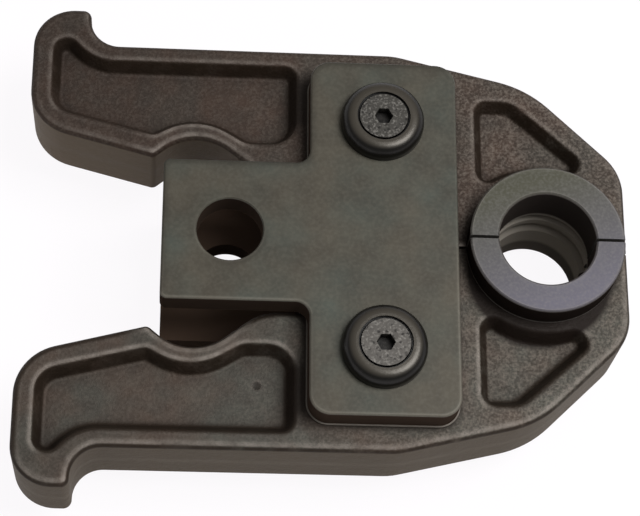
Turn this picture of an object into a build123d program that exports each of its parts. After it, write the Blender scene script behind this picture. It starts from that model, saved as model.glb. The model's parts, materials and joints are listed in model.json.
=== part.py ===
"""Press jaw set for a pipe press tool: two forged levers that pivot between two T-shaped side plates.

Frame: millimetres. The origin is the centre of the tool bolt hole at mid thickness.
+X points to the press mouth, +Y to the left lever and +Z up, out of the top side plate.
"""
import os
from math import cos, pi, radians, sin, sqrt, tan

from build123d import *

# Side plates
BOLT_HOLE_D = 14.2        # hole for the 14 mm tool bolt
PLATE_T = 6.0
STEM_REAR = 14.4          # bolt centre to the rear end of the stem
STEM_W = 32.2
BAR_REAR = 15.7           # pivot centre to the rear edge of the crossbar
BAR_FRONT = 16.2          # pivot centre to the front edge of the crossbar
BAR_SIDE = 14.75          # pivot centre to the side edge of the crossbar
STEM_CORNER_R = 1.5
PLATE_CORNER_R = 4.5      # corners of the crossbar
PLATE_NECK_R = 3.0        # inner corners between stem and crossbar
PLATE_EDGE_R = 0.5        # rounded outer rim
PLATE_HOLE_BEVEL = 0.25

# Pivots
PIVOT_X = 32.7
PIVOT_Y = 26.0
PIN_D = 16.0              # journal that carries the lever
PIN_END_D = 12.0          # reduced ends that sit in the plates
PIN_END_RECESS = 0.2      # pin ends stay this far below the plate faces
PIN_BEVEL = 0.5
PIN_PLAY = 0.05           # radial play of a lever on its journal
FIT_PLAY = 0.03           # radial play of the fixed fits
SIDE_PLAY = 0.1           # gap between a lever and each plate

# Cup washers and countersunk screws
WASHER_D = 18.0
WASHER_H = 4.0
WASHER_DOME_R = 2.7       # round shoulder between the rim and the flat crown
SCREW_D = 5.0
SCREW_L = 14.0            # thread below the head
HEAD_D = 10.4
HEAD_RIM = 0.5            # straight rim of the head above its cone
HEAD_GAP = 0.55           # gap round the rim of the head in the washer
CONE_GAP = 0.2            # gap round the cone and the thread
HEAD_SINK = 0.15          # head sits this far below the washer's crown
SOCKET_AF = 3.5           # across the flats of the hex socket
SOCKET_DEPTH = 2.4

# Levers
LEVER_T = 19.4            # over the machined lands below the plates
LAND_H = 0.5              # lands stand proud of the forged faces
LAND_RIM = 0.3            # lands reach this far past the plates
FORGED_EDGE_R = 1.4
SPLIT_GAP = 0.7           # gap between the two levers and between the two dies
REAR_X = -44.2            # rear end of the arms
ARM_Y = 46.6              # straight outer edge
BACK_X = 3.4              # from the pivot to the bend of the outer edge
BACK_R = 15.0
HOOK_X = -31.7            # front face of the hook
HOOK_H = 8.7              # hook stands out this far from the outer edge
HOOK_ROOT_R = 6.5
HOOK_TIP_R = 1.8
HOOK_BACK_R = 9.0
HEEL_Y = 26.8             # where the heel line meets the rear end
HEEL_R = 11.0
LIP_X = -16.8             # lip in front of which the tool's roller rests
LIP_Y = 19.6
LIP_R = 1.5
DIP_X = -7.6              # roller rest
DIP_Y = 27.2
DIP_R = 11.0
RAMP_X = 7.2              # end of the roller ramp
RAMP_Y = 15.8
RAMP_R = 12.0
BAY_FRONT = 9.5           # from the pivot back to the front end of the spring bay
BAY_R = 4.0
THROAT_X = 8.5            # from the pivot to where the two levers meet
SHOULDER_X = 2.2          # from the die centre back to the shoulder corner
SHOULDER_Y = 39.5
SHOULDER_R = 24.0
NOSE_Y = 19.6             # corner between the slanted shoulder and the nose face
NOSE_R = 12.0
NOSE_WALL = 3.9           # metal in front of the die seat

# Pockets forged into both faces of the levers
POCKET_DEPTH = 3.5
POCKET_DRAFT = 28.0       # slope of the pocket walls in degrees
POCKET_FLOOR_R = 1.1
POCKET_RIM_R = 1.1
POCKET_CORNER_R = 3.0
POCKET_TIP_R = 3.0        # narrow ends of the pockets
RIB_OUTER = 3.8           # rib along the outer edge
RIB_REAR = 4.4            # rib along the rear end
RIB_HEEL = 3.6            # rib above the heel line, at the rear end
RIB_LIP = 5.0             # rib above the lip
RIB_DIP = 2.6             # rib above the roller rest, at its corner
RIB_RAMP = 7.4            # metal above the end of the ramp
RIB_BAR = 2.5             # rib behind the side plate
RIB_HOOK = 2.8            # metal between the hook's tip and the corner of the pocket
RIB_NECK = 4.9            # rib in front of the side plate
RIB_DIE = 2.1             # rib round the die collar
RIB_SHOULDER = 5.3        # rib along the slanted shoulder, at its rear end
RIB_NOSE = 4.2            # the same rib at the nose
NOSE_POCKET_Y = 35.8      # outer side of the nose pocket
DIP_POCKET_R = 13.0

# Hardness test mark in the floor of the right arm pocket
MARK_X = 6.5
MARK_Y = -31.5
MARK_D = 2.2
MARK_DEPTH = 0.3

# Press dies
DIE_X = 68.2
BORE_R = 10.5             # press bore of the closed dies
DIE_W = 31.5              # over the collars
COLLAR_WALL = 6.3         # bore to the outside of the collars
CORE_WALL = 4.0           # bore to the seat in the lever
DIE_BEVEL = 0.4
GROOVE_W = 9.0            # press groove in the middle of the bore
GROOVE_DEPTH = 1.1
RIDGE_W = 1.6             # ridge in the middle of the groove
RIDGE_DEPTH = 0.3         # ridge stays this far below the bore
DOWEL_D = 4.0
DOWEL_L = 7.0
DOWEL_GRIP = 1.8          # length of the dowel inside the die
DOWEL_BEVEL = 0.4

# Closing springs
SPRING_ARM = 14.7         # from the pivots back to the springs
SPRING_D = 6.2            # outside diameter
SPRING_WIRE = 0.9
SPRING_TURNS = 12
SPRING_SPREAD = 8.0       # between the two spring axes
SPRING_SEAT = 5.0         # depth of the blind seats in the levers
SPRING_LEG = 1.3          # bend from the coil to the straight end of the wire
SPRING_PLAY = 0.5         # radial play of a spring in its seat

# Heights and places that follow
LAND_Z = LEVER_T / 2
FACE_Z = LAND_Z - LAND_H
PLATE_Z = LAND_Z + SIDE_PLAY
TOP_Z = PLATE_Z + PLATE_T
CORE_R = BORE_R + CORE_WALL
COLLAR_R = BORE_R + COLLAR_WALL
NOSE_X = DIE_X + CORE_R + NOSE_WALL
SPRING_X = PIVOT_X - SPRING_ARM
SPRING_END_Y = RAMP_Y + SPRING_SEAT
BIG = 4 * (NOSE_X - REAR_X)      # larger than the whole object, for cuts


def rounded_outline(corners):
    """Face inside straight sides that meet in corners of (x, y, radius).

    Where two arcs would meet on a side, both are cut back to fit it.
    """
    count = len(corners)
    points = [Vector(x, y) for x, y, _ in corners]
    toward_last = [(points[i - 1] - points[i]).normalized() for i in range(count)]
    toward_next = [(points[(i + 1) % count] - points[i]).normalized() for i in range(count)]
    half_angle = [radians(toward_last[i].get_angle(toward_next[i]) / 2) for i in range(count)]
    reach = [corners[i][2] / tan(half_angle[i]) for i in range(count)]
    room = [(points[i] - points[i - 1]).length / max(reach[i] + reach[i - 1], 1e-6) for i in range(count)]
    reach = [reach[i] * min(1.0, 0.99 * room[i], 0.99 * room[(i + 1) % count]) for i in range(count)]
    starts = [points[i] + toward_last[i] * reach[i] for i in range(count)]
    ends = [points[i] + toward_next[i] * reach[i] for i in range(count)]
    edges = []
    for i in range(count):
        edges.append(Line(ends[i - 1], starts[i]))
        if reach[i] > 1e-6:
            radius = reach[i] * tan(half_angle[i])
            bisector = (toward_last[i] + toward_next[i]).normalized()
            middle = points[i] + bisector * (radius / sin(half_angle[i]) - radius)
            edges.append(ThreePointArc(starts[i], middle, ends[i]))
    return make_face(edges)


def slab(face, half_height):
    """Straight solid of a face, the same height above and below mid thickness."""
    return extrude(face, amount=half_height, both=True)


def right_half(solid):
    """The same piece on the other side of the tool axis."""
    return mirror(solid, about=Plane.XZ)


def below(solid):
    """The same piece on the other face."""
    return mirror(solid, about=Plane.XY)


def at_pivot(solid):
    return Pos(PIVOT_X, PIVOT_Y, 0) * solid


def keep_left_of_split(solid):
    """Cut a left-hand piece flat where it faces the right-hand one."""
    return solid - Pos(0, SPLIT_GAP / 2 - BIG / 2, 0) * Box(BIG, BIG, BIG)


# Side plates

def bar_outline(rim=0.0):
    """Crossbar of the side plate, grown by a rim."""
    rear = PIVOT_X - BAR_REAR - rim
    front = PIVOT_X + BAR_FRONT + rim
    side = PIVOT_Y + BAR_SIDE + rim
    radius = PLATE_CORNER_R + rim
    return rounded_outline([(rear, -side, radius), (front, -side, radius), (front, side, radius), (rear, side, radius)])


def plate_outline():
    rear = PIVOT_X - BAR_REAR
    front = PIVOT_X + BAR_FRONT
    side = PIVOT_Y + BAR_SIDE
    half = STEM_W / 2
    left = [
        (front, side, PLATE_CORNER_R),
        (rear, side, PLATE_CORNER_R),
        (rear, half, PLATE_NECK_R),
        (-STEM_REAR, half, STEM_CORNER_R),
    ]
    right = [(x, -y, radius) for x, y, radius in reversed(left)]
    return rounded_outline(left + right)


def side_plate():
    """Top side plate with the tool bolt hole and the two pin holes."""
    plate = Pos(0, 0, PLATE_Z) * extrude(plate_outline(), amount=PLATE_T)
    plate = fillet(plate.edges().group_by(Axis.Z)[-1], PLATE_EDGE_R)
    middle = PLATE_Z + PLATE_T / 2
    plate -= Pos(0, 0, middle) * Cylinder(BOLT_HOLE_D / 2, 2 * PLATE_T)
    plate = chamfer(plate.faces().sort_by(Axis.Z)[-1].inner_wires()[0].edges(), PLATE_HOLE_BEVEL)
    pin_hole = Pos(PIVOT_X, PIVOT_Y, middle) * Cylinder(PIN_END_D / 2 + FIT_PLAY, 2 * PLATE_T)
    return plate - pin_hole - right_half(pin_hole)


# Pivots

def pivot_pin():
    """Shouldered pin: the journal keeps the plates apart, and a thread right through it takes the screws."""
    journal = Cylinder(PIN_D / 2, 2 * PLATE_Z)
    journal = chamfer(journal.edges().filter_by(GeomType.CIRCLE), PIN_BEVEL)
    ends = Cylinder(PIN_END_D / 2, 2 * (TOP_Z - PIN_END_RECESS))
    ends = chamfer(ends.edges().filter_by(GeomType.CIRCLE), PIN_BEVEL)
    tapped = Cylinder(SCREW_D / 2 + FIT_PLAY, 2 * TOP_Z)
    return at_pivot(journal + ends - tapped)


def cup_washer():
    """Domed washer whose countersink takes the screw head."""
    rim = WASHER_D / 2
    wall = WASHER_H - WASHER_DOME_R
    crown = rim - WASHER_DOME_R
    hole = SCREW_D / 2 + CONE_GAP
    head = HEAD_D / 2 + HEAD_GAP
    cone = HEAD_D / 2 + CONE_GAP
    cone_top = WASHER_H - HEAD_SINK - HEAD_RIM
    section = make_face([
        Line((hole, 0), (rim, 0)),
        Line((rim, 0), (rim, wall)),
        CenterArc((crown, wall), WASHER_DOME_R, 0, 90),
        Line((crown, WASHER_H), (head, WASHER_H)),
        Line((head, WASHER_H), (head, cone_top)),
        Line((head, cone_top), (cone, cone_top)),
        Line((cone, cone_top), (hole, cone_top - (cone - hole))),
        Line((hole, cone_top - (cone - hole)), (hole, 0)),
    ])
    washer = revolve(Plane.XZ * section, axis=Axis.Z)
    return at_pivot(Pos(0, 0, TOP_Z) * washer)


def pivot_screw():
    """Countersunk hex socket screw, flush in its cup washer."""
    head = HEAD_D / 2
    shank = SCREW_D / 2
    top = WASHER_H - HEAD_SINK
    cone_top = top - HEAD_RIM
    section = make_face(Polyline(
        (0, top),
        (head, top),
        (head, cone_top),
        (shank, cone_top - (head - shank)),
        (shank, -SCREW_L),
        (0, -SCREW_L),
        close=True,
    ))
    screw = revolve(Plane.XZ * section, axis=Axis.Z)
    socket = extrude(RegularPolygon(SOCKET_AF / 2, 6, major_radius=False), amount=SOCKET_DEPTH)
    screw -= Pos(0, 0, top - SOCKET_DEPTH) * socket
    return at_pivot(Pos(0, 0, TOP_Z) * screw)


# Levers

def lever_outline():
    """Left lever from above; it runs past the split, where it is cut flat later."""
    past_split = -NOSE_WALL
    bay_x = PIVOT_X - BAY_FRONT
    throat_x = PIVOT_X + THROAT_X
    past_throat_x = throat_x + (throat_x - bay_x) * -past_split / RAMP_Y
    return rounded_outline([
        (NOSE_X, past_split, 0),
        (NOSE_X, NOSE_Y, NOSE_R),
        (DIE_X - SHOULDER_X, SHOULDER_Y, SHOULDER_R),
        (PIVOT_X + BACK_X, ARM_Y, BACK_R),
        (HOOK_X, ARM_Y, HOOK_ROOT_R),
        (HOOK_X, ARM_Y + HOOK_H, HOOK_TIP_R),
        (REAR_X, ARM_Y + HOOK_H, HOOK_BACK_R),
        (REAR_X, HEEL_Y, HEEL_R),
        (LIP_X, LIP_Y, LIP_R),
        (DIP_X, DIP_Y, DIP_R),
        (RAMP_X, RAMP_Y, RAMP_R),
        (bay_x, RAMP_Y, BAY_R),
        (past_throat_x, past_split, 0),
    ])


def arm_pocket_outline():
    """Pocket in the arm: it follows the outline one rib inside it."""
    rear = REAR_X + RIB_REAR
    front = PIVOT_X - BAR_REAR - RIB_BAR
    outer = ARM_Y - RIB_OUTER
    return rounded_outline([
        (rear, HEEL_Y + RIB_HEEL, HEEL_R / 2),
        (LIP_X, LIP_Y + RIB_LIP, POCKET_CORNER_R),
        (DIP_X, DIP_Y + RIB_DIP, DIP_POCKET_R),
        (RAMP_X - RIB_OUTER, RAMP_Y + RIB_RAMP, 2 * POCKET_CORNER_R),
        (front, RAMP_Y + RIB_RAMP, 2 * POCKET_CORNER_R),
        (front, outer, POCKET_CORNER_R),
        (HOOK_X + RIB_OUTER / 3, outer, HOOK_ROOT_R + RIB_OUTER),
        (rear, ARM_Y + HOOK_H - RIB_HOOK, POCKET_TIP_R),
    ])


def nose_pocket_outline():
    """Three-sided pocket between the side plate, the shoulder and the die."""
    rear = PIVOT_X + BAR_FRONT + RIB_NECK
    shoulder = Vector(DIE_X - SHOULDER_X, SHOULDER_Y)
    nose = Vector(NOSE_X, NOSE_Y)
    edge_way = (nose - shoulder).normalized()
    inward = Vector(edge_way.Y, -edge_way.X)
    slant_start = shoulder + inward * RIB_SHOULDER
    slant_way = (nose + inward * RIB_NOSE - slant_start).normalized()
    to_top = (NOSE_POCKET_Y - slant_start.Y) / slant_way.Y
    to_die = (Vector(DIE_X, 0) - slant_start).dot(slant_way)
    top_corner = slant_start + slant_way * to_top
    nearest_to_die = slant_start + slant_way * to_die
    corners = [
        (rear, 0, 0),
        (rear, NOSE_POCKET_Y, POCKET_CORNER_R),
        (top_corner.X, NOSE_POCKET_Y, 2 * POCKET_CORNER_R),
        (nearest_to_die.X, nearest_to_die.Y, 0),
        (DIE_X, 0, 0),
    ]
    face = rounded_outline(corners) - Pos(DIE_X, 0) * Circle(COLLAR_R + RIB_DIE)
    face = face.faces().sort_by(Axis.Y)[-1]
    return offset(offset(face, amount=-POCKET_TIP_R), amount=POCKET_TIP_R)


def pocket(outline):
    """Cutter for a pocket in the top face, with sloping walls and a rounded floor."""
    cutter = extrude(outline, amount=-POCKET_DEPTH, taper=POCKET_DRAFT)
    cutter = fillet(cutter.edges().group_by(Axis.Z)[0], POCKET_FLOOR_R)
    return Pos(0, 0, FACE_Z) * cutter


def jaw_lever():
    """Forged left lever with its lands, pockets, pin bore, die seat and spring seats."""
    outline = lever_outline()
    lever = slab(outline, FACE_Z)
    levels = lever.edges().group_by(Axis.Z)
    lever = fillet(levels[0] + levels[-1], FORGED_EDGE_R)
    for face in (arm_pocket_outline(), nose_pocket_outline()):
        cutter = pocket(face)
        lever = lever - cutter - below(cutter)
    rims = [wire.edges() for face in lever.faces().filter_by(Axis.Z) for wire in face.inner_wires()]
    lever = fillet([edge for rim in rims for edge in rim], POCKET_RIM_R)
    lever += slab(outline & bar_outline(LAND_RIM), LAND_Z)
    lever -= at_pivot(Cylinder(PIN_D / 2 + PIN_PLAY, BIG))
    lever -= Pos(DIE_X, 0, 0) * Cylinder(CORE_R + FIT_PLAY, BIG)
    seat = Cylinder(SPRING_D / 2 + SPRING_PLAY, 2 * SPRING_END_Y, rotation=(90, 0, 0))
    for z in (SPRING_SPREAD / 2, -SPRING_SPREAD / 2):
        lever -= Pos(SPRING_X, 0, z) * seat
    lever -= die_dowel(FIT_PLAY)
    return keep_left_of_split(lever)


def hardness_mark():
    """Ball that has sunk into the pocket floor by the depth of the mark."""
    ball_r = (MARK_D**2 / 4 + MARK_DEPTH**2) / (2 * MARK_DEPTH)
    return Pos(MARK_X, MARK_Y, FACE_Z - POCKET_DEPTH - MARK_DEPTH + ball_r) * Sphere(ball_r)


# Press dies

def press_die():
    """Left die: half a flanged ring that straddles the lever, with the press groove inside."""
    half = DIE_W / 2
    groove = BORE_R + GROOVE_DEPTH
    ridge = BORE_R + RIDGE_DEPTH
    upper = [
        (ridge, RIDGE_W / 2),
        (groove, RIDGE_W / 2 + GROOVE_DEPTH - RIDGE_DEPTH),
        (groove, GROOVE_W / 2 - GROOVE_DEPTH),
        (BORE_R, GROOVE_W / 2),
        (BORE_R, half - DIE_BEVEL),
        (BORE_R + DIE_BEVEL, half),
        (COLLAR_R - DIE_BEVEL, half),
        (COLLAR_R, half - DIE_BEVEL),
        (COLLAR_R, FACE_Z),
        (CORE_R, FACE_Z),
    ]
    lower = [(radius, -z) for radius, z in reversed(upper)]
    section = make_face(Polyline(*upper, *lower, close=True))
    ring = Pos(DIE_X, 0, 0) * revolve(Plane.XZ * section, axis=Axis.Z)
    return keep_left_of_split(ring - die_dowel(FIT_PLAY))


def die_dowel(grow=0.0):
    """Dowel between lever and die that keeps the die from turning, or its hole."""
    start = CORE_R - DOWEL_GRIP - grow
    length = DOWEL_L + 2 * grow
    dowel = Cylinder(DOWEL_D / 2 + grow, length, rotation=(90, 0, 0))
    dowel = chamfer(dowel.edges().filter_by(GeomType.CIRCLE), DOWEL_BEVEL)
    return Pos(DIE_X, start + length / 2, 0) * dowel


# Closing springs

def biarc(start, start_way, end, end_way):
    """Two arcs that leave start and reach end in the given directions."""
    span = end - start
    ways = start_way + end_way
    bend = 2 * (1 - start_way.dot(end_way))
    along = span.dot(ways)
    reach = (sqrt(along**2 + bend * span.dot(span)) - along) / bend
    first = start + start_way * reach
    last = end - end_way * reach
    middle = (first + last) / 2
    return [
        TangentArc(start, middle, tangent=start_way),
        TangentArc(middle, end, tangent=(last - first).normalized()),
    ]


def coil_point(angle, radius, foot, rise):
    return Vector(radius * cos(angle), radius * sin(angle), foot + rise * angle / (2 * pi))


def coil_way(angle, radius, rise):
    return Vector(-radius * sin(angle), radius * cos(angle), rise / (2 * pi)).normalized()


def closing_spring():
    """Compression spring along Z, centred on the origin, with straight ends."""
    radius = (SPRING_D - SPRING_WIRE) / 2
    foot = SPRING_LEG + SPRING_WIRE - SPRING_END_Y
    rise = -2 * foot / SPRING_TURNS
    turns = [k * pi for k in range(2 * SPRING_TURNS + 1)]
    points = [coil_point(a, radius, foot, rise) for a in turns]
    ways = [coil_way(a, radius, rise) for a in turns]
    up = Vector(0, 0, 1)
    lower_bend = points[0] + Vector(0, -SPRING_LEG, -SPRING_LEG)
    upper_bend = points[-1] + Vector(0, SPRING_LEG, SPRING_LEG)
    edges = [Line(lower_bend - up * SPRING_WIRE, lower_bend)]
    edges += biarc(lower_bend, up, points[0], ways[0])
    for i in range(len(turns) - 1):
        edges += biarc(points[i], ways[i], points[i + 1], ways[i + 1])
    edges += biarc(points[-1], ways[-1], upper_bend, up)
    edges.append(Line(upper_bend, upper_bend + up * SPRING_WIRE))
    report_coil_gap(radius, foot, rise)
    section = Plane(origin=edges[0] @ 0, z_dir=up) * Circle(SPRING_WIRE / 2)
    return sweep(section, path=Wire(edges))


def report_coil_gap(radius, foot, rise):
    """Print the least gap between neighbouring turns, measured on points of the coil."""
    per_turn = 48
    points = [coil_point(2 * pi * i / per_turn, radius, foot, rise) for i in range(3 * per_turn)]
    least = min(
        (points[j] - points[i]).length
        for i in range(per_turn)
        for j in range(i + per_turn // 2, 3 * per_turn)
    )
    print(f"spring: least gap between turns {least - SPRING_WIRE:.2f} mm")


def placed_spring(spring, z):
    return Pos(SPRING_X, 0, z) * Rot(90, 0, 0) * spring


def build_nodes():
    """Every sub-part under its node name."""
    left = {
        "jaw_lever": jaw_lever(),
        "press_die": press_die(),
        "die_dowel": die_dowel(),
        "pivot_pin": pivot_pin(),
    }
    top = {"cup_washer": cup_washer(), "pivot_screw": pivot_screw()}
    plate = side_plate()
    nodes = {"top_side_plate": plate, "bottom_side_plate": below(plate)}
    for name, solid in left.items():
        nodes[f"left_{name}"] = solid
        nodes[f"right_{name}"] = right_half(solid)
    nodes["right_jaw_lever"] -= hardness_mark()
    for name, solid in top.items():
        nodes[f"top_left_{name}"] = solid
        nodes[f"top_right_{name}"] = right_half(solid)
        nodes[f"bottom_left_{name}"] = below(solid)
        nodes[f"bottom_right_{name}"] = below(right_half(solid))
    spring = closing_spring()
    nodes["top_closing_spring"] = placed_spring(spring, SPRING_SPREAD / 2)
    nodes["bottom_closing_spring"] = placed_spring(spring, -SPRING_SPREAD / 2)
    return nodes


os.makedirs("parts", exist_ok=True)
for node, solid in build_nodes().items():
    export_step(solid, f"parts/{node}.step")
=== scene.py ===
"""Looks of the press jaw set: its steel finishes, its closing springs, a white studio and the camera.

Metres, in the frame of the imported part: +X to the press mouth, +Y to the left lever, +Z out of the top plate.
"""
import json
from math import cos, pi, radians, sin
from types import SimpleNamespace

import bpy
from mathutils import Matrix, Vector


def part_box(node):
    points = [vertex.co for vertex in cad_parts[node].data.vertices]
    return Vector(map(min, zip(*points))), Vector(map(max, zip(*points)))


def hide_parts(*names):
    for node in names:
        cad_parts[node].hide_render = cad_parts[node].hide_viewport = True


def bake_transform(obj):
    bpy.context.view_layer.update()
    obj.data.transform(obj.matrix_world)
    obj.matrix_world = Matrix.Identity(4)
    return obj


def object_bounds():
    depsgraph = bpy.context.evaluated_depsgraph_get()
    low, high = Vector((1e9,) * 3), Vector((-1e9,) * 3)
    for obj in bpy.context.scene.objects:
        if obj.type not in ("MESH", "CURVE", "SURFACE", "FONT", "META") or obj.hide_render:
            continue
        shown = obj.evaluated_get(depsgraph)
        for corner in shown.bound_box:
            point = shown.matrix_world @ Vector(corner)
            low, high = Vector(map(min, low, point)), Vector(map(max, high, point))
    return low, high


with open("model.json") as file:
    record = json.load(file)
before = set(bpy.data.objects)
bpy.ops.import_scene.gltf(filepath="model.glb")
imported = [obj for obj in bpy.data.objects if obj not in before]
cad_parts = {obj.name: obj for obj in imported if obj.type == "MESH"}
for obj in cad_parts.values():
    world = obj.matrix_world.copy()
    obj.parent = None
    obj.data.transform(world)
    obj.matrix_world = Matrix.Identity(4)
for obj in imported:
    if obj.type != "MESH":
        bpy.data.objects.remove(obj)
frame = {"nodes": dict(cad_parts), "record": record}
cad_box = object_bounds()
nodes = frame["nodes"]

MM = 0.001

# Levers
LAND_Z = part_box("left_jaw_lever")[1].z     # milled lands next to the plates
ROLLER_REST = (-7.6 * MM, 22 * MM, 0)      # middle of the left one; the right one is its mirror image
HEEL_SLOPE = 0.26                          # the heel line runs inwards by this much per unit of X
HARDNESS_MARK = (6.5 * MM, -31.5 * MM, 5.6 * MM)     # small dent in the floor of the right arm pocket
SHADE_SIDE_WAY = (-0.6, 0.8, 0)                   # slopes and edges that face this way get painted shade and lose their painted highlight
LEE_REACH = 2.6 * MM                       # radius over which the way that a surface faces is softened

# Side plates
plate_low, plate_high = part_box("top_side_plate")
PLATE_FACE_Z = plate_high.z
PLATE_BACK_Z = plate_low.z
BAR_REAR_X = 17 * MM                       # rear edge of the crossbars

# Press dies
die_low, die_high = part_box("left_press_die")
DIE_CENTRE = ((die_low.x + die_high.x) / 2, 0, 0)
DIE_FACE_Z = die_high.z
DIE_SPLIT_Y = die_low.y                    # the split face of the left die
DIE_SHADOW_MIDDLE = (DIE_CENTRE[0] - 1 * MM, 5.5 * MM, 0)      # middle of the painted shadow that a die collar casts on the lever below it
GROOVE_EDGE_Z = 4.5 * MM                   # upper edge of the press groove
LOW_END_Z = -9.5 * MM                      # below this the bore is painted dark again, as painted shade
BORE_REACH = 12.5 * MM                     # the bore and its groove lie within this radius
RING_PITCH = 3.14 * MM                     # of the turning marks, as drawn
TEMPER_WAY = (-0.34, 0.94, 0)              # from the violet side of the dies to the olive side; the violet side is also painted lighter, as painted light

# Closing springs
SPRING_WIRE = 0.9 * MM
SPRING_TURNS = 6                           # in each half, the closed end turns among them
SPRING_CLOSED_TURNS = 1.5
STEPS_PER_TURN = 32
WIRE_SIDES = 10

# Studio
SWEEP_RADIUS = 3.0
SWEEP_COVE = 0.3
SWEEP_HEIGHT = 0.8
SWEEP_SIDES = 96
COVE_STEPS = 8
PAPER_GLOW = 1.04                          # what the eye sees of the paper is this bright
PAPER_SHARE = 0.9                          # and has this share; the rest takes light and shadow
SOFTBOX_PLACE = (0.34, 0.0, 0.70)
SOFTBOX_AIM = (30 * MM, 0, 0)
SOFTBOX_SIZE = 0.40
SOFTBOX_WATTS = 4.6
FILL_LEVEL = 0.3

# Camera, as fitted to the photograph
CAMERA_PLACE = (-0.00960, -0.17682, 0.42746)
CAMERA_TURN = (22.462, -4.059, 0.145)
CAMERA_LENS = 118.78
SENSOR_WIDTH = 36
NEAREST = 0.01
FARTHEST = 20

# Places of the colour sockets on a colour Mix node, and the rays that feel for a corner or an edge
MIX_A = 6
MIX_B = 7
MIX_RESULT = 2
RAYS = 8


def linear(hex_colour):
    """Linear colour of an sRGB hex value."""
    parts = [int(hex_colour[i:i + 2], 16) / 255 for i in (1, 3, 5)]
    return [p / 12.92 if p <= 0.04045 else ((p + 0.055) / 1.055) ** 2.4 for p in parts] + [1.0]


def per(size_mm):
    """Texture scale that gives a pattern features of this size."""
    return 1 / (size_mm * MM)


def new_material(name):
    """Material with no nodes yet."""
    material = bpy.data.materials.new(name)
    material.use_nodes = True
    material.node_tree.nodes.clear()
    return material


def add(material, kind, inputs, **settings):
    """Add a shader node with its settings; an input is a value or the output that feeds it."""
    node = material.node_tree.nodes.new("ShaderNode" + kind)
    for name, value in settings.items():
        setattr(node, name, value)
    for socket, value in inputs.items():
        if isinstance(value, bpy.types.NodeSocket):
            material.node_tree.links.new(value, node.inputs[socket])
        else:
            node.inputs[socket].default_value = value
    return node


# Forged levers

def lever_spots(steel):
    """What the looks of a lever go by: where a point lies, which way it faces, and the noise in its skin.

    left is 1 on the left lever and 0 on the right one, level is 1 on the faces and 0 on the upright sides,
    and mirrored is the same place on the left lever, at mid height. The real grit is about 0.3 mm; it is
    drawn at 0.6 mm, which still shows.
    """
    place = add(steel, "TexCoord", {}).outputs["Object"]
    axes = add(steel, "SeparateXYZ", {"Vector": place}).outputs
    spot = SimpleNamespace(place=place, x=axes["X"], y=axes["Y"])
    spot.out = add(steel, "Math", {0: axes["Y"]}, operation="ABSOLUTE").outputs["Value"]
    spot.height = add(steel, "Math", {0: axes["Z"]}, operation="ABSOLUTE").outputs["Value"]
    spot.left = add(steel, "MapRange", {
        "Value": axes["Y"],
        "From Min": -2 * MM,
        "From Max": 2 * MM,
    }).outputs["Result"]
    spot.mirrored = add(steel, "CombineXYZ", {"X": axes["X"], "Y": spot.out}).outputs["Vector"]
    spot.to_roller = add(steel, "VectorMath", {
        0: spot.mirrored,
        1: ROLLER_REST,
    }, operation="DISTANCE").outputs["Value"]
    normal = add(steel, "NewGeometry", {}).outputs["Normal"]
    rise = add(steel, "SeparateXYZ", {"Vector": normal}).outputs["Z"]
    spot.level = add(steel, "Math", {0: rise}, operation="ABSOLUTE").outputs["Value"]
    softened = add(steel, "Bevel", {"Radius": LEE_REACH}, samples=RAYS).outputs["Normal"]
    spot.lean = add(steel, "VectorMath", {
        0: softened,
        1: SHADE_SIDE_WAY,
    }, operation="DOT_PRODUCT").outputs["Value"]
    spot.grit = add(steel, "TexNoise", {
        "Vector": place,
        "Scale": per(0.6),
        "Detail": 3,
        "Roughness": 0.65,
    }).outputs["Fac"]
    spot.patches = add(steel, "TexNoise", {"Vector": place, "Scale": per(3), "Detail": 3}).outputs["Fac"]
    return spot


def forged_skin(steel, spot):
    """Colour of the flat faces: red-brown drifting to grey-green, blotched, darker on the left lever and on
    the arms, where greasy hands hold them, and reddest where it is darkest."""
    drift = add(steel, "TexNoise", {"Vector": spot.place, "Scale": per(12), "Detail": 2}).outputs["Fac"]
    handled = add(steel, "MapRange", {
        "Value": spot.x,
        "From Min": 60 * MM,
        "From Max": -20 * MM,
        "To Max": 0.25,
    }).outputs["Result"]
    darker = add(steel, "MapRange", {"Value": spot.left, "To Max": 0.35}).outputs["Result"]
    shade = add(steel, "Math", {0: handled, 1: darker}, operation="ADD").outputs["Value"]
    rusty = add(steel, "MapRange", {
        "Value": shade,
        "From Min": 0.15,
        "From Max": 0.58,
        "To Max": 0.7,
    }).outputs["Result"]
    swing = add(steel, "MapRange", {
        "Value": drift,
        "From Min": 0.36,
        "From Max": 0.64,
        "To Min": 0.35,
        "To Max": 1.1,
    }).outputs["Result"]
    green = add(steel, "Math", {
        0: swing,
        1: rusty,
    }, operation="SUBTRACT", use_clamp=True).outputs["Value"]
    hue = add(steel, "Mix", {
        0: green,
        MIX_A: linear("#6a5346"),
        MIX_B: linear("#5e5f57"),
    }, data_type="RGBA").outputs[MIX_RESULT]
    blotch = add(steel, "TexNoise", {"Vector": spot.place, "Scale": per(4), "Detail": 4}).outputs["Fac"]
    skin = add(steel, "Mix", {
        0: blotch,
        MIX_A: linear("#463f39"),
        MIX_B: hue,
    }, data_type="RGBA").outputs[MIX_RESULT]
    shaded = add(steel, "Mix", {
        0: shade,
        MIX_A: skin,
        MIX_B: linear("#1f1814"),
    }, data_type="RGBA").outputs[MIX_RESULT]
    return shaded


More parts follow.
